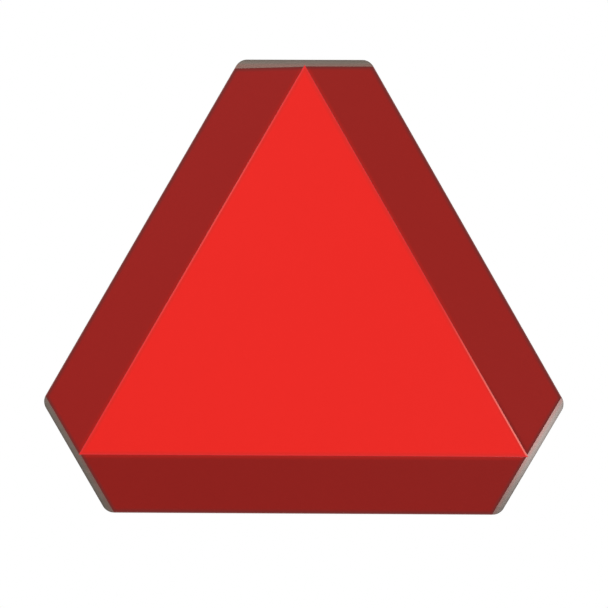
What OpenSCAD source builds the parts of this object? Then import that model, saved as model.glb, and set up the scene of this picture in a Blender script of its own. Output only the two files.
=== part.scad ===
// Slow moving vehicle sign.
// A flat sheet metal blank, cut as a triangle without its three points.
// Its front carries a bright triangle of film inside three darker reflective strips.
// The ends of the blank stay bare metal.
// The sign stands upright and faces -Y, with its flat back at Y = 0.
// The origin is the middle of the triangle, on the back of the blank.

/* [Bright triangle] */
// Side of the bright triangle, from point to point
triangle_side = 353; // [300:1:430]
// Thickness of the bright film, which stands proud of the strips
triangle_t = 0.5; // [0.2:0.05:1.5]

/* [Border strips] */
// Border from a side of the triangle to the long edge of the plate
border_w = 45.8; // [36:0.1:60]
// Thickness of the strip film
strip_t = 0.3; // [0.1:0.05:1]
// Seam between the bright film and a strip, and between two strips
seam = 0.1; // [0.1:0.05:0.5]
// Bare metal between the ends of the strips and a cut end of the plate
end_bare = 5.3; // [3:0.1:12]
// How far down its side the left strip was laid from a centred place
left_slide = 1; // [-2:0.1:2]
// How far up its side the right strip was laid from a centred place
right_slide = 0.2; // [-2:0.1:2]
// How far to the right the bottom strip was laid from a centred place
bottom_slide = -0.1; // [-2:0.1:2]
// How far the upper end of the left strip was cut out of line with the plate, in degrees
left_skew = 1.6; // [-2:0.1:2]

/* [Plate] */
// Bare metal between each point of the triangle and a cut end of the plate
tip_bare = 4; // [2:0.1:12]
// Radius of the plate's six corners, seen from the front
corner_r = 10; // [4:0.5:20]
// Thickness of the sheet metal
plate_t = 1; // [0.6:0.1:3]

/* [Hidden] */
$fn = 96;

// Colours of the bare metal and the two films
metal_colour = [0.56, 0.53, 0.5];
border_colour = [0.59, 0.15, 0.13];
bright_colour = [0.93, 0.18, 0.15];

// Distances from the middle of the sign
tip_d = triangle_side / sqrt(3);
side_d = tip_d / 2;
long_edge_d = side_d + border_w;
cut_end_d = tip_d + tip_bare;
strip_end_d = cut_end_d - end_bare;

// The strips are cut this much too wide, and then trimmed flush with the plate
trim = 5;

// The plate has six edges, counted anticlockwise from the long edge on the right.
// Even ones are the long edges, odd ones the cut ends.
edges = 6;
// Direction in which the first edge faces, in degrees
first_way = 30;
function edge_way(k) = first_way + k * 360 / edges;
function edge_d(k) = k % 2 == 0 ? long_edge_d : cut_end_d;

// Directions in which the strips and their ends face, in degrees
right_way = edge_way(0);
left_way = edge_way(2);
left_end_way = edge_way(3);
bottom_way = edge_way(4);
right_end_way = edge_way(5);

// Unit vector pointing in a direction given in degrees
function heading(way) = [cos(way), sin(way)];

// Point where two straight lines cross, each given by its direction and its distance from the middle
function crossing(way_a, d_a, way_b, d_b) =
    [d_a * sin(way_b) - d_b * sin(way_a), d_b * cos(way_a) - d_a * cos(way_b)] / sin(way_b - way_a);

// Centre of the arc that rounds the corner between edge k and the next edge
function corner_centre(k) =
    crossing(edge_way(k), edge_d(k) - corner_r, edge_way(k + 1), edge_d(k + 1) - corner_r);

// Outline of the blank: straight edges that run into a true arc at each corner
module plate_outline() {
    polygon([
        for (k = [0:edges - 1])
            for (side = [k, k + 1])
                corner_centre(k) + corner_r * heading(edge_way(side))
    ]);
    for (k = [0:edges - 1])
        translate(corner_centre(k))
            circle(r = corner_r);
}

module triangle_outline() {
    polygon([for (k = [0:2]) tip_d * heading(edge_way(2 * k + 1))]);
}

// A strip before it is trimmed, for the bottom side.
// Its ends run along the cut ends of the plate, so its inner edge is the longer one.
// A skew turns the end on the left about its own middle.
module strip_blank(skew) {
    inner_d = side_d + seam;
    outer_d = long_edge_d + trim;
    end_middle = crossing(bottom_way, (inner_d + long_edge_d) / 2, left_end_way, strip_end_d);
    skewed_way = left_end_way + skew;
    skewed_d = end_middle * heading(skewed_way);
    polygon([
        crossing(bottom_way, inner_d, right_end_way, strip_end_d),
        crossing(bottom_way, inner_d, skewed_way, skewed_d),
        crossing(bottom_way, outer_d, skewed_way, skewed_d),
        crossing(bottom_way, outer_d, right_end_way, strip_end_d)
    ]);
}

// The third of the sign below its middle, which keeps a strip off its neighbours
module bottom_third() {
    reach = 2 * cut_end_d;
    translate([0, -seam / sqrt(3)])
        polygon([[0, 0], reach * heading(left_end_way), reach * heading(right_end_way)]);
}

// A strip in its place on one side, trimmed flush with the plate and its rounded corners
module strip_outline(way, slide, skew) {
    intersection() {
        plate_outline();
        rotate(way - bottom_way)
            intersection() {
                bottom_third();
                translate([slide, 0])
                    strip_blank(skew);
            }
    }
}

// Stands an outline upright, facing -Y, as a sheet of thickness t that starts at depth from the back
module sheet(depth, t) {
    rotate([90, 0, 0])
        translate([0, 0, depth])
            linear_extrude(height = t)
                children();
}

module backing_plate() {
    color(metal_colour)
        sheet(0, plate_t)
            plate_outline();
}

module border_strip(way, slide, skew = 0) {
    color(border_colour)
        sheet(plate_t, strip_t)
            strip_outline(way, slide, skew);
}

module border_strip_left() {
    border_strip(left_way, left_slide, left_skew);
}

module border_strip_right() {
    border_strip(right_way, right_slide);
}

module border_strip_bottom() {
    border_strip(bottom_way, bottom_slide);
}

module fluorescent_triangle() {
    color(bright_colour)
        sheet(plate_t, triangle_t)
            triangle_outline();
}

backing_plate();
border_strip_left();
border_strip_right();
border_strip_bottom();
fluorescent_triangle();
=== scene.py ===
"""Looks of the slow moving vehicle sign.

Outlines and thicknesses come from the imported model. Each piece is rebuilt as a closed mesh with
the rounded edges of cut film and sheet metal, and stands in the place of its CAD node.
The sign is upright and faces -Y. Outlines are drawn in X and Z, from the middle of the sign.
"""

import math
from collections import namedtuple

import bpy
from mathutils import Color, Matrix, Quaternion, Vector


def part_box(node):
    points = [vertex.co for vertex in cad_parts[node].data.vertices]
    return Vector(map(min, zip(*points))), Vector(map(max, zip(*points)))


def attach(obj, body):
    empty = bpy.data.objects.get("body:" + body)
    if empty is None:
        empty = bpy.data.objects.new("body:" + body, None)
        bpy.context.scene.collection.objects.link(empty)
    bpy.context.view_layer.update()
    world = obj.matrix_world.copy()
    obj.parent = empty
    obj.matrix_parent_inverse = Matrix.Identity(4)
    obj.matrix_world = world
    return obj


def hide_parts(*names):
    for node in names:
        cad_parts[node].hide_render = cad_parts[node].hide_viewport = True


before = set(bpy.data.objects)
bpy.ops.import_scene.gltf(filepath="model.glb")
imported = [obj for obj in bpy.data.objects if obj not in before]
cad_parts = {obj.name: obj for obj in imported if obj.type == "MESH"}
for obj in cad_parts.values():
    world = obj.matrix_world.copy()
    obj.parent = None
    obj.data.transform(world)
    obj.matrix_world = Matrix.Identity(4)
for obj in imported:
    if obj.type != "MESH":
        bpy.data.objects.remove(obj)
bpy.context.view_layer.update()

MM = 0.001
# Turns and directions are in degrees, anticlockwise from +X as seen from the front
FULL_TURN = 360
HALF_TURN = 180
QUARTER_TURN = 90
PLATE_EDGES = 6
EDGE_TURN = FULL_TURN / PLATE_EDGES
# Direction in which each border strip faces
STRIPS = {"left": 150, "right": 30, "bottom": 270}


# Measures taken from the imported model

def heading(way):
    """Unit vector in X and Z that points in a direction."""
    angle = math.radians(way)
    return Vector((math.cos(angle), math.sin(angle)))


def reach(node, way):
    """How far a CAD node reaches from the middle of the sign in one direction."""
    corners = (vertex.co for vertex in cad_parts[node].data.vertices)
    return max(Vector((corner.x, corner.z)).dot(heading(way)) for corner in corners)


def facing(node, guess):
    """Direction of the side face of a CAD node that faces nearest to a guess."""
    normals = (face.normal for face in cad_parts[node].data.polygons)
    flat = (Vector((normal.x, normal.z)) for normal in normals)
    nearest = max(flat, key=lambda normal: normal.dot(heading(guess)))
    return math.degrees(math.atan2(nearest.y, nearest.x))


def crossing(way_a, distance_a, way_b, distance_b):
    """Point where two lines cross, each given by the direction it faces and its distance."""
    angle_a = math.radians(way_a)
    angle_b = math.radians(way_b)
    x = distance_a * math.sin(angle_b) - distance_b * math.sin(angle_a)
    z = distance_b * math.cos(angle_a) - distance_a * math.cos(angle_b)
    return Vector((x, z)) / math.sin(angle_b - angle_a)


# The way each edge of the plate faces and how far out it lies, from the long edge on the right.
# Long edges and cut ends take turns.
PLATE_WAYS = [STRIPS["right"] + EDGE_TURN * k for k in range(PLATE_EDGES)]
PLATE_REACHES = [reach("backing_plate", way) for way in PLATE_WAYS]
CUT_END_REACH = PLATE_REACHES[1]

plate_low, plate_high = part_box("backing_plate")
BACK_Y = plate_high.y
PLATE_FRONT_Y = plate_low.y
STRIP_FRONT_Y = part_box("border_strip_left")[0].y
BRIGHT_FRONT_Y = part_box("fluorescent_triangle")[0].y

# A corner of the plate with radius r stops short of its sharp point by r * CORNER_GAIN
CORNER_COSINE = math.cos(math.radians(EDGE_TURN / 2))
CORNER_GAIN = 1 / CORNER_COSINE - 1
sharp_corner_x = (PLATE_REACHES[0] + PLATE_REACHES[-1]) / (2 * CORNER_COSINE)
PLATE_CORNER_R = (sharp_corner_x - plate_high.x) / CORNER_GAIN


# Camera, set by the photograph

PHOTO_PX = 608
# Height of the plate in the photograph, and where the middle of the sign lies in it
PLATE_HEIGHT_PX = 454.5
MIDDLE_PX = (303.8, 326.4)
AZIMUTH_DEG = 0.8
ELEVATION_DEG = 3.6
ROLL_DEG = 0.21
CAMERA_DISTANCE = 2.0
SENSOR_MM = 36.0

METRES_PER_PX = (plate_high.z - plate_low.z) / PLATE_HEIGHT_PX
# Point of the sign's front that is seen at the middle of the photograph
AIM = Vector((
    (PHOTO_PX / 2 - MIDDLE_PX[0]) * METRES_PER_PX,
    STRIP_FRONT_Y,
    (MIDDLE_PX[1] - PHOTO_PX / 2) * METRES_PER_PX,
))
azimuth = math.radians(AZIMUTH_DEG)
elevation = math.radians(ELEVATION_DEG)
TO_CAMERA = Vector((
    math.sin(azimuth) * math.cos(elevation),
    -math.cos(azimuth) * math.cos(elevation),
    math.sin(elevation),
))
CAMERA_PLACE = AIM + CAMERA_DISTANCE * TO_CAMERA


def add_camera():
    """The camera, placed as the photograph's was."""
    data = bpy.data.cameras.new("camera")
    data.sensor_width = SENSOR_MM
    data.lens = SENSOR_MM * CAMERA_DISTANCE / (PHOTO_PX * METRES_PER_PX)
    camera = bpy.data.objects.new("camera", data)
    camera.location = CAMERA_PLACE
    roll = Quaternion((0, 0, 1), math.radians(ROLL_DEG))
    camera.rotation_euler = (TO_CAMERA.to_track_quat("Z", "Y") @ roll).to_euler()
    bpy.context.scene.collection.objects.link(camera)
    bpy.context.scene.camera = camera


# Colours, given as a display shows them

FULL_LEVEL = 255


def linear(red, green, blue):
    """Shader colour of a display colour given from 0 to 255."""
    display = Color((red / FULL_LEVEL, green / FULL_LEVEL, blue / FULL_LEVEL))
    return tuple(display.from_srgb_to_scene_linear())


BRIGHT_FILM = linear(236, 36, 29)
BRIGHT_RIM = linear(216, 42, 34)
BRIGHT_EDGE = linear(226, 41, 41)
# Pale pink painted highlight on the bright film's cut edge
PAINTED_HIGHLIGHT_COLOUR = linear(252, 122, 112)
BARE_METAL = linear(98, 90, 83)
SHEARED_METAL = linear(80, 73, 68)
# Bare metal on the front beside the film, with a painted reflection of the red film
PAINTED_RED_REFLECTION = linear(107, 84, 77)
# The strips' reds differ a little: painted shade for how the light falls on each turned strip
STRIP_FILM = {
    "left": linear(151, 27, 22),
    "right": linear(149, 27, 21),
    "bottom": linear(140, 23, 17),
}
STRIP_RIM = linear(130, 70, 66)
# Strip colour at its outer edge and its ends, towards which it gets darker
STRIP_DARKER_EDGE = linear(105, 38, 35)
# Strip beside the bright film, with a painted red glow, and painted shade beside the painted
# highlight
STRIP_GLOW = linear(168, 25, 18)
STRIP_SHADE = linear(126, 23, 17)

# Width of the stretch that changes towards an edge, and the share of the colour that is left
# at the edge itself
BRIGHT_FADE = (4.3 * MM, 0.0)
INNER_FADE = (3.5 * MM, 0.0)
TRIMMED_FADE = (4.3 * MM, 0.0)
END_FADE = (3.6 * MM, 0.1)
METAL_FADE = (2.5 * MM, 0.8)
RED_REFLECTION_FADE = (2.6 * MM, 0.0)
# How far the painted red reflection stays off the cut ends
RED_REFLECTION_GAP = 2.0 * MM

# Painted highlights on the edges of the bright triangle: how strong they get, and where they fade
# out, as (turn from the way the side faces, distance from the middle of the side, width of the
# fade).
# Distances and widths are in halves of the side.
PAINTED_HIGHLIGHT_SPANS = {
    "right": (1.0, [(QUARTER_TURN, -0.1, 0.92)]),
    "left": (0.15, [(-QUARTER_TURN, 1.0, 0.75), (QUARTER_TURN, 1.0, 1.42)]),
    "bottom": (0.0, []),
}


# Surfaces

# Roughness and gloss, and how far the roughness strays from place to place
FILM_ROUGHNESS = 0.45
RIM_ROUGHNESS = 0.5
ROLLED_ROUGHNESS = 0.25
SHEARED_ROUGHNESS = 0.5
FILM_STRAY = 0.04
METAL_STRAY = 0.03
FILM_GLOSS = 0.1
BRIGHT_EDGE_GLOSS = 0.15
METAL_GLOSS = 0.5

# Mottled colour, as (size of the blotches, share by which they get lighter and darker)
BRIGHT_CLOUDS = (120 * MM, 0.015)
BRIGHT_GRAIN = (0.7 * MM, 0.03)
BRIGHT_EDGE_SPECKS = (4 * MM, 0.03)
STRIP_CLOUDS = (90 * MM, 0.015)
RIM_SPECKS = (3 * MM, 0.1)
METAL_CLOUDS = (50 * MM, 0.06)
# Uneven surface, as (size of the bumps, height)
BRIGHT_PEEL = (1.2 * MM, 0.012 * MM)
BRIGHT_WAVES = (50 * MM, 0.08 * MM)
STRIP_WAVES = (40 * MM, 0.06 * MM)
# Size of the patches that are smoother or rougher
BRIGHT_PATCH = 20 * MM
STRIP_PATCH = 15 * MM

# Beads of the strips: their size, how much the face rises from the middle of a bead outwards,
# and the brightness of the colour at its middle and away from it
BEAD_SIZE = 0.4 * MM
BEAD_HEIGHT = 0.008 * MM
BEAD_TONES = (1.05, 0.93)

# Grain and bands of rolled metal. A draw of less than 1 makes them run on along X.
GRAIN_WIDTH = 0.8 * MM
GRAIN_DRAW = 0.012
GRAIN_TONE = 0.07
GRAIN_HEIGHT = 0.001 * MM
BAND_WIDTH = 3.5 * MM
BAND_DRAW = 0.03
BAND_TONE = 0.16

# How many finer layers a noise has, on plain surfaces and in the grain
NOISE_DETAIL = 2.0
GRAIN_DETAIL = 3.0


class Shader:
    """A material with one Principled BSDF, and short ways to add what varies over it."""

    def __init__(self, name, roughness, gloss, metallic=0.0):
        self.material = bpy.data.materials.new(name)
        self.material.use_nodes = True
        self.nodes = self.material.node_tree.nodes
        self.links = self.material.node_tree.links
        self.surface = self.nodes["Principled BSDF"]
        self.surface.inputs["Metallic"].default_value = metallic
        self.surface.inputs["Roughness"].default_value = roughness
        self.surface.inputs["Specular IOR Level"].default_value = gloss
        self.bump = None

    def add(self, kind, settings=None, **inputs):
        """Adds a node. A value sets an input, and a socket is linked to it."""
        node = self.nodes.new(kind)
        for key, value in (settings or {}).items():
            setattr(node, key, value)
        for key, value in inputs.items():
            self.feed(node.inputs[key.replace("_", " ")], value)
        return node

    def feed(self, socket, value):
        """Sets an input to a value, or links a socket to it."""
        if isinstance(value, bpy.types.NodeSocket):
            self.links.new(value, socket)
        else:
            socket.default_value = value

    def position(self):
        """Position in metres, from the middle of the sign or of the floor."""
        return self.add("ShaderNodeTexCoord").outputs["Object"]

    def place(self, turn=0.0, draw=1.0):
        """Position turned about Y. A draw of less than 1 draws a pattern out along X."""
        about_y = (0, math.radians(turn), 0)
        turned = self.add("ShaderNodeMapping", Vector=self.position(), Rotation=about_y)
        drawn = self.add("ShaderNodeMapping", Vector=turned.outputs["Vector"], Scale=(draw, 1, 1))
        return drawn.outputs["Vector"]

    def noise(self, place, size, detail=NOISE_DETAIL):
        """Soft noise from 0 to 1, whose blotches are about size metres across."""
        node = self.add("ShaderNodeTexNoise", Vector=place, Scale=1 / size, Detail=detail)
        return node.outputs["Fac"]

    def cells(self, place, size):
        """Distance to the middle of the nearest bead, as a share of the beads' size."""
        node = self.add("ShaderNodeTexVoronoi", Vector=place, Scale=1 / size)
        return node.outputs["Distance"]

    def mapped(self, value, start, end, low, high, kind="LINEAR"):
        """Goes from low to high while a value goes from start to end, and no further."""
        limits = {"From_Min": start, "From_Max": end, "To_Min": low, "To_Max": high}
        node = self.add("ShaderNodeMapRange", {"interpolation_type": kind}, Value=value, **limits)
        return node.outputs["Result"]

    def spread(self, value, low, high):
        """Goes from low to high while a value goes from 0 to 1."""
        return self.mapped(value, 0.0, 1.0, low, high)

    def around(self, value, middle, stray):
        """Strays to both sides of a middle while a value goes from 0 to 1."""
        return self.spread(value, middle - stray, middle + stray)

    def mottle(self, place, size, share):
        """Brightness of a colour that gets lighter and darker in soft blotches."""
        return self.around(self.noise(place, size), 1.0, share)

    def fade_to_edge(self, way, distance, width, at_edge):
        """1 well inside a straight edge at a distance, falling to at_edge over the last width."""
        across = self.add("ShaderNodeVectorMath", {"operation": "DOT_PRODUCT"})
        self.feed(across.inputs[0], self.position())
        self.feed(across.inputs[1], (heading(way).x, 0, heading(way).y))
        reached = across.outputs["Value"]
        return self.mapped(reached, distance - width, distance, 1.0, at_edge, "SMOOTHSTEP")

    def fade_to_back(self):
        """1 on the front of the plate, falling to 0 on its back."""
        depth = self.add("ShaderNodeSeparateXYZ", Vector=self.position()).outputs["Y"]
        return self.mapped(depth, PLATE_FRONT_Y, BACK_Y, 1.0, 0.0)

    def all_fades(self, fades):
        """Product of several fades, each (direction, distance, width, share left at the edge)."""
        share = 1.0
        for fade in fades:
            share = self.product(share, self.fade_to_edge(*fade))
        return share

    def combine(self, operation, first, second):
        """Result of a Math node that takes two values."""
        node = self.add("ShaderNodeMath", {"operation": operation})
        self.feed(node.inputs[0], first)
        self.feed(node.inputs[1], second)
        return node.outputs["Value"]

    def product(self, first, second):
        """Product of two values."""
        return self.combine("MULTIPLY", first, second)

    def blend(self, first, second, share):
        """Goes from the first colour, where the share is 0, to the second, where it is 1."""
        node = self.add("ShaderNodeMix", {"data_type": "VECTOR"})
        self.feed(node.inputs["Factor"], share)
        self.feed(node.inputs["A"], first)
        self.feed(node.inputs["B"], second)
        return node.outputs["Result"]

    def colour(self, colour, brightness):
        """Base colour, made lighter or darker from place to place."""
        node = self.add("ShaderNodeVectorMath", {"operation": "SCALE"})
        self.feed(node.inputs[0], colour)
        self.feed(node.inputs["Scale"], brightness)
        self.feed(self.surface.inputs["Base Color"], node.outputs["Vector"])

    def rough(self, value, middle, stray):
        """Roughness that strays to both sides of a middle while a value goes from 0 to 1."""
        self.feed(self.surface.inputs["Roughness"], self.around(value, middle, stray))

    def raise_by(self, value, height):
        """Bump of a height in metres, on top of the bumps added before it."""
        node = self.add("ShaderNodeBump", Height=value, Distance=height, Strength=1.0)
        if self.bump:
            self.feed(node.inputs["Normal"], self.bump)
        self.bump = node.outputs["Normal"]
        self.feed(self.surface.inputs["Normal"], self.bump)

    def raise_noise(self, place, size, height):
        """Soft bumps of a size and a height in metres."""
        self.raise_by(self.noise(place, size), height)


def bright_film(fades):
    """Smooth fluorescent film with a very fine grain and a soft gloss, duller at its edges."""
    film = Shader("bright_film", FILM_ROUGHNESS, FILM_GLOSS)
    place = film.place()
    tone = film.product(film.mottle(place, *BRIGHT_CLOUDS), film.mottle(place, *BRIGHT_GRAIN))
    film.colour(film.blend(BRIGHT_RIM, BRIGHT_FILM, film.all_fades(fades)), tone)
    film.rough(film.noise(place, BRIGHT_PATCH), FILM_ROUGHNESS, FILM_STRAY)
    film.raise_noise(place, *BRIGHT_PEEL)
    film.raise_noise(place, *BRIGHT_WAVES)
    return film.material


def painted_highlight_share(shader, side):
    """How strong the painted highlight on the bright film's edge is along one side, from 0 to 1."""
    way = STRIPS[side]
    half_side = reach("fluorescent_triangle", way) * math.sqrt(3)
    strength, ends = PAINTED_HIGHLIGHT_SPANS[side]
    fades = [(way + turn, end * half_side, width * half_side, 0.0) for turn, end, width in ends]
    return shader.product(strength, shader.all_fades(fades))


def bright_edge(side):
    """Cut edge of the bright film, sloping, with a pale painted highlight in places."""
    edge = Shader("bright_edge_" + side, FILM_ROUGHNESS, BRIGHT_EDGE_GLOSS)
    colour = edge.blend(BRIGHT_EDGE, PAINTED_HIGHLIGHT_COLOUR, painted_highlight_share(edge, side))
    edge.colour(colour, edge.mottle(edge.place(), *BRIGHT_EDGE_SPECKS))
    return edge.material


def strip_film(side, darkening_fades, glow_fade):
    """Retroreflective film: a bed of fine glass beads under a smooth dark red face."""
    film = Shader("strip_film_" + side, FILM_ROUGHNESS, FILM_GLOSS)
    place = film.place(turn=STRIPS[side])
    beads = film.cells(place, BEAD_SIZE)
    tone = film.product(film.mottle(place, *STRIP_CLOUDS), film.spread(beads, *BEAD_TONES))
    # Painted glow beside the bright film, and painted shade where its edge has the painted
    # highlight
    beside = film.blend(STRIP_GLOW, STRIP_SHADE, painted_highlight_share(film, side))
    undarkened = film.blend(beside, STRIP_FILM[side], film.fade_to_edge(*glow_fade))
    # Darker towards the outer edge and the ends
    film.colour(film.blend(STRIP_DARKER_EDGE, undarkened, film.all_fades(darkening_fades)), tone)
    film.rough(film.noise(place, STRIP_PATCH), FILM_ROUGHNESS, FILM_STRAY)
    film.raise_by(beads, BEAD_HEIGHT)
    film.raise_noise(place, *STRIP_WAVES)
    return film.material


def strip_rim():
    """Outer edge of a strip, drawn down and dulled where it was sheared with the plate."""
    rim = Shader("strip_rim", RIM_ROUGHNESS, FILM_GLOSS)
    rim.colour(STRIP_RIM, rim.mottle(rim.place(), *RIM_SPECKS))
    return rim.material


def rolled_metal(name, colour, roughness):
    """Dull aluminium sheet, with the fine straight grain of rolling, and a painted red reflection
    in front.
    """
    metal = Shader(name, roughness, METAL_GLOSS, metallic=1.0)
    grain = metal.noise(metal.place(draw=GRAIN_DRAW), GRAIN_WIDTH, GRAIN_DETAIL)
    bands = metal.noise(metal.place(draw=BAND_DRAW), BAND_WIDTH)
    clouds = metal.mottle(metal.place(), *METAL_CLOUDS)
    wide_tone = metal.product(metal.around(bands, 1.0, BAND_TONE), clouds)
    tone = metal.product(metal.around(grain, 1.0, GRAIN_TONE), wide_tone)
    # A cut end lies opposite each strip
    end_ways = [way + HALF_TURN for way in STRIPS.values()]
    rim = metal.all_fades([(way, CUT_END_REACH, *METAL_FADE) for way in end_ways])
    # Painted reflection of the red films on the front, fading out before the cut ends' outer edges
    off_ends = metal.all_fades([(way, CUT_END_REACH - RED_REFLECTION_GAP, *RED_REFLECTION_FADE) for way in end_ways])
    red = metal.product(metal.fade_to_back(), off_ends)
    metal.colour(metal.blend(colour, PAINTED_RED_REFLECTION, red), metal.product(tone, rim))
    metal.rough(bands, roughness, METAL_STRAY)
    metal.raise_by(grain, GRAIN_HEIGHT)
    return metal.material


# Sheets with rounded edges

# How far the rounding of an edge reaches inwards
PLATE_ROLL = 0.3 * MM
FILM_ROLL = 0.15 * MM
BRIGHT_ROLL = 1.2 * MM
TRIMMED_ROLL = 0.8 * MM
ROLL_STEPS = 6
# Share of a film's thickness that its upright wall takes, under the rounding
WALL_SHARE = 0.3
# A ring at this share of the roll keeps the slope true beside the wall under smooth shading
WALL_LEAD = 0.02

FILM_CORNER_R = 0.2 * MM
LEAST_CORNER_R = 0.02 * MM
PLATE_CORNER_STEPS = 20
FILM_CORNER_STEPS = 3
# A point this far before and after each corner keeps the long faces true under smooth shading
CORNER_LEAD = 0.3 * MM

# A sheet's first faces are its two flat ones. The rest go round it corner by corner, and the
# last two of each corner lie on the edge that follows it.
FLAT_FACES = 2
FACES_PAST_CORNER = 2
# Numbers of a sheet's materials. A sheet may have more edge materials after the first.
FACE_MATERIAL = 0
EDGE_MATERIAL = 1

# An edge of a sheet: the direction it faces, its distance from the middle of the sign, how far
# its rounding reaches inwards, and the number of its material
Edge = namedtuple("Edge", "way distance roll material")

# Edges of a border strip, anticlockwise from the outer one, as (turn from the way the strip
# faces, roll, material number, fade). The outer edge was trimmed with the plate.
STRIP_EDGES = (
    (0, TRIMMED_ROLL, EDGE_MATERIAL, TRIMMED_FADE),
    (EDGE_TURN, FILM_ROLL, FACE_MATERIAL, END_FADE),
    (HALF_TURN, FILM_ROLL, FACE_MATERIAL, INNER_FADE),
    (-EDGE_TURN, FILM_ROLL, FACE_MATERIAL, END_FADE),
)


def rounded(wall_y, face_y):
    """Section of a rounded edge, as (share of the edge's roll, Y), from its wall to its face."""
    angles = [math.radians(QUARTER_TURN * i / ROLL_STEPS) for i in range(ROLL_STEPS + 1)]
    rise = face_y - wall_y
    return [(1 - math.cos(angle), wall_y + rise * math.sin(angle)) for angle in angles]


def eased(wall_y, face_y):
    """Section of an edge that slopes down ever more steeply, and meets its wall at an angle."""
    shares = [0.0, WALL_LEAD] + [i / ROLL_STEPS for i in range(1, ROLL_STEPS + 1)]
    return [(share, face_y + (wall_y - face_y) * (1 - share) ** 2) for share in shares]


def film_section(face_y, shape=rounded):
    """Section of a film: up its wall from the plate, and then over its shaped edge."""
    wall_y = PLATE_FRONT_Y + WALL_SHARE * (face_y - PLATE_FRONT_Y)
    return [(0, PLATE_FRONT_Y)] + shape(wall_y, face_y)


def ring(edges, corner_r, corner_steps, share, y):
    """One turn round a sheet. Each edge is inset by a share of its own roll."""
    points = []
    for edge, following in zip(edges, edges[1:] + edges[:1]):
        radius = max(corner_r - share * min(edge.roll, following.roll), LEAST_CORNER_R)
        edge_inset = edge.distance - share * edge.roll - radius
        following_inset = following.distance - share * following.roll - radius
        centre = crossing(edge.way, edge_inset, following.way, following_inset)
        turn = (following.way - edge.way) % FULL_TURN
        ways = [edge.way + turn * i / corner_steps for i in range(corner_steps + 1)]
        arc = [centre + radius * heading(way) for way in ways]
        before = arc[0] - CORNER_LEAD * heading(edge.way + QUARTER_TURN)
        after = arc[-1] + CORNER_LEAD * heading(following.way + QUARTER_TURN)
        points += [(point.x, y, point.y) for point in (before, *arc, after)]
    return points


def add_sheet(name, node, edges, corner_r, corner_steps, section, materials):
    """A closed sheet swept round its outline.

    The edges come in anticlockwise order, and the section runs from the back to the front.
    The two flat faces take the first material.
    """
    rings = [ring(edges, corner_r, corner_steps, share, y) for share, y in section]
    count = len(rings[0])
    front = count * (len(rings) - 1)
    faces = [list(reversed(range(count))), list(range(front, front + count))]
    for low in range(0, front, count):
        high = low + count
        for i in range(count):
            after = (i + 1) % count
            faces.append([low + i, low + after, high + after, high + i])
    mesh = bpy.data.meshes.new(name)
    mesh.from_pydata([point for turn in rings for point in turn], [], faces)
    for material in materials:
        mesh.materials.append(material)
    faces_per_edge = count // len(edges)
    for face in mesh.polygons[FLAT_FACES:]:
        face.use_smooth = True
        turn = (face.index - FLAT_FACES) % count
        edge = edges[(turn + FACES_PAST_CORNER) // faces_per_edge % len(edges)]
        face.material_index = edge.material
    mesh.validate()
    mesh.update()
    piece = bpy.data.objects.new(name, mesh)
    bpy.context.scene.collection.objects.link(piece)
    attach(piece, "root")
    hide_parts(node)


def add_plate():
    """The bare metal plate, with its edges sheared."""
    sizes = zip(PLATE_WAYS, PLATE_REACHES)
    edges = [Edge(way, distance, PLATE_ROLL, EDGE_MATERIAL) for way, distance in sizes]
    back = rounded(BACK_Y - PLATE_ROLL, BACK_Y)
    front = rounded(PLATE_FRONT_Y + PLATE_ROLL, PLATE_FRONT_Y)
    materials = [
        rolled_metal("rolled_metal", BARE_METAL, ROLLED_ROUGHNESS),
        rolled_metal("sheared_metal", SHEARED_METAL, SHEARED_ROUGHNESS),
    ]
    add_sheet(
        "plate_sheet", "backing_plate",
        edges, PLATE_CORNER_R, PLATE_CORNER_STEPS, back[::-1] + front, materials,
    )


def add_bright_triangle():
    """The bright film. Each of its edges has a material of its own, because their painted
    highlights differ.
    """
    node = "fluorescent_triangle"
    sides = sorted(STRIPS, key=STRIPS.get)
    edges = []
    for material, side in enumerate(sides, start=EDGE_MATERIAL):
        way = STRIPS[side]
        edges.append(Edge(way, reach(node, way), BRIGHT_ROLL, material))
    film = bright_film([(edge.way, edge.distance, *BRIGHT_FADE) for edge in edges])
    materials = [film] + [bright_edge(side) for side in sides]
    add_sheet(
        "bright_triangle_film", node,
        edges, FILM_CORNER_R, FILM_CORNER_STEPS, film_section(BRIGHT_FRONT_Y, eased), materials,
    )


def add_strip(side, rim):
    """One border strip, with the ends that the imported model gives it."""
    node = "border_strip_" + side
    edges = []
    fades = []
    for turn, roll, material, fade in STRIP_EDGES:
        way = facing(node, STRIPS[side] + turn)
        distance = reach(node, way)
        edges.append(Edge(way, distance, roll, material))
        fades.append((way, distance, *fade))
    outer_fade, first_end_fade, inner_fade, last_end_fade = fades
    film = strip_film(side, (outer_fade, first_end_fade, last_end_fade), inner_fade)
    add_sheet(
        "border_film_" + side, node,
        edges, FILM_CORNER_R, FILM_CORNER_STEPS, film_section(STRIP_FRONT_Y), [film, rim],
    )


# Studio

MIDDLE = Vector((0, 0, 0))
WHITE = (1.0, 1.0, 1.0, 1.0)
WHITE_LIGHT = (1.0, 1.0, 1.0)
COOL_LIGHT = (0.86, 0.88, 1.0)
SOFT_LIGHT = 0.5
BACKDROP_LIGHT = 1.0

# Lamps that point at the middle, as (name, place, size in metres, power in watts).
# The bare back mirrors the last one, so that it shows a sheen from behind.
OPEN_LAMPS = (
    ("key", Vector((-0.6, -2.0, 1.2)), 1.0, 26.1),
    ("behind", Vector((1.0, 2.0, 1.4)), 1.2, 12.0),
    ("back_sheen", Vector((0.9, 1.9, -0.35)), 1.5, 11.0),
)
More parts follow.
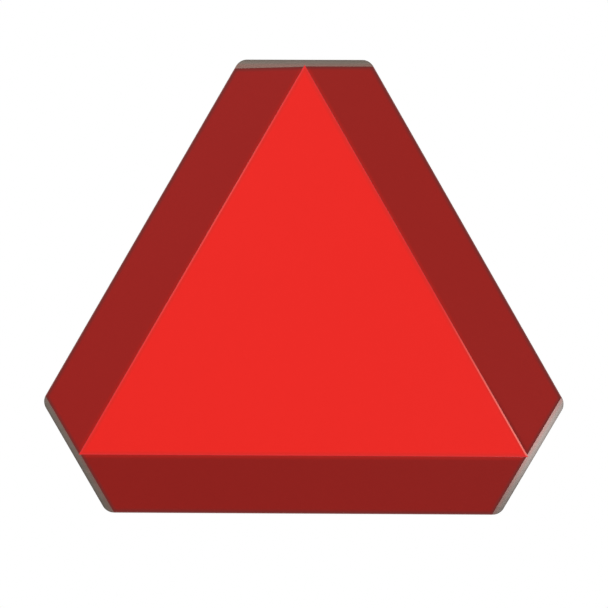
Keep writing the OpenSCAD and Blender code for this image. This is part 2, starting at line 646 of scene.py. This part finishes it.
# Weak lamps that the front mirrors softly towards the camera, as (name, middle of the glint in
# X and Z, distance from there, size in metres, power in watts, colour)
GLINT_LAMPS = (
    ("right_glint", Vector((0.19, -0.085)), 0.6, 0.08, 0.24, COOL_LIGHT),
    ("left_glint", Vector((-0.195, -0.075)), 1.0, 0.12, 0.05, WHITE_LIGHT),
    ("upper_glint", Vector((-0.03, 0.11)), 2.6, 0.3, 1.3, WHITE_LIGHT),
)

FLOOR_DROP = 0.3
FLOOR_R = 1.2
FLOOR_FADE_R = 0.8
FLOOR_SIDES = 96
FLOOR_TONE = 0.86
FLOOR_ROUGHNESS = 0.9
FLOOR_GLOSS = 0.1
FLOOR_GLOW = 0.3


def mirrored_place(point, distance):
    """Place and target of a lamp that glints towards the camera at a point of the flat front."""
    target = Vector((point.x, PLATE_FRONT_Y, point.y))
    away = target - CAMERA_PLACE
    away.y = -away.y
    return target + distance * away.normalized(), target


def add_lamp(name, place, target, size, power, colour):
    """A square soft lamp that points at its target."""
    data = bpy.data.lights.new(name, "AREA")
    data.size = size
    data.energy = power
    data.color = colour
    lamp = bpy.data.objects.new(name, data)
    lamp.location = place
    lamp.rotation_euler = (target - place).to_track_quat("-Z", "Y").to_euler()
    lamp.visible_camera = False
    bpy.context.scene.collection.objects.link(lamp)


def add_lamps():
    """The open lamps, and the weak ones that glint."""
    for name, place, size, power in OPEN_LAMPS:
        add_lamp(name, place, MIDDLE, size, power, WHITE_LIGHT)
    for name, point, distance, size, power, colour in GLINT_LAMPS:
        add_lamp(name, *mirrored_place(point, distance), size, power, colour)


def sees_background(nodes, links):
    """1 for the rays that show a background: from the camera, off metal and through glass."""
    path = nodes.new("ShaderNodeLightPath")
    sees = path.outputs["Is Camera Ray"]
    for ray in ("Is Glossy Ray", "Is Transmission Ray"):
        either = nodes.new("ShaderNodeMath")
        either.operation = "MAXIMUM"
        links.new(sees, either.inputs[0])
        links.new(path.outputs[ray], either.inputs[1])
        sees = either.outputs["Value"]
    return sees


def add_world():
    """An even soft light, in front of a white background that the camera, metal and glass see."""
    world = bpy.data.worlds.new("studio")
    bpy.context.scene.world = world
    world.use_nodes = True
    nodes = world.node_tree.nodes
    links = world.node_tree.links
    light = nodes["Background"]
    light.inputs["Color"].default_value = WHITE
    light.inputs["Strength"].default_value = SOFT_LIGHT
    backdrop = nodes.new("ShaderNodeBackground")
    backdrop.inputs["Color"].default_value = WHITE
    backdrop.inputs["Strength"].default_value = BACKDROP_LIGHT
    mix = nodes.new("ShaderNodeMixShader")
    links.new(sees_background(nodes, links), mix.inputs["Fac"])
    links.new(light.outputs["Background"], mix.inputs[1])
    links.new(backdrop.outputs["Background"], mix.inputs[2])
    links.new(mix.outputs["Shader"], nodes["World Output"].inputs["Surface"])


def floor_material():
    """Pale and matt, brighter where it is seen, fading out at its rim, and clear from below."""
    floor = Shader("floor", FLOOR_ROUGHNESS, FLOOR_GLOSS)
    floor.feed(floor.surface.inputs["Base Color"], (FLOOR_TONE, FLOOR_TONE, FLOOR_TONE, 1.0))
    floor.feed(floor.surface.inputs["Emission Color"], WHITE)
    glow = floor.product(sees_background(floor.nodes, floor.links), FLOOR_GLOW)
    floor.feed(floor.surface.inputs["Emission Strength"], glow)
    length = floor.add("ShaderNodeVectorMath", {"operation": "LENGTH"})
    floor.feed(length.inputs[0], floor.position())
    distance = length.outputs["Value"]
    fade = floor.mapped(distance, FLOOR_FADE_R, FLOOR_R, 0.0, 1.0, "SMOOTHSTEP")
    below = floor.add("ShaderNodeNewGeometry").outputs["Backfacing"]
    clear = floor.add("ShaderNodeBsdfTransparent")
    mix = floor.add("ShaderNodeMixShader", Fac=floor.combine("MAXIMUM", fade, below))
    floor.feed(mix.inputs[1], floor.surface.outputs["BSDF"])
    floor.feed(mix.inputs[2], clear.outputs["BSDF"])
    floor.feed(floor.nodes["Material Output"].inputs["Surface"], mix.outputs["Shader"])
    return floor.material


def add_floor():
    """A round floor below the sign, which keeps its shadow."""
    # It lies flat, so its outline is drawn in X and Y
    spokes = [FLOOR_R * heading(FULL_TURN * i / FLOOR_SIDES) for i in range(FLOOR_SIDES)]
    mesh = bpy.data.meshes.new("floor")
    mesh.from_pydata([(spoke.x, spoke.y, 0) for spoke in spokes], [], [list(range(FLOOR_SIDES))])
    mesh.materials.append(floor_material())
    floor = bpy.data.objects.new("floor", mesh)
    floor.location = (0, 0, plate_low.z - FLOOR_DROP)
    bpy.context.scene.collection.objects.link(floor)


add_camera()
add_world()
add_lamps()
add_floor()
add_plate()
add_bright_triangle()
shared_rim = strip_rim()
for strip_side in STRIPS:
    add_strip(strip_side, shared_rim)
bpy.context.scene.view_settings.view_transform = "Standard"
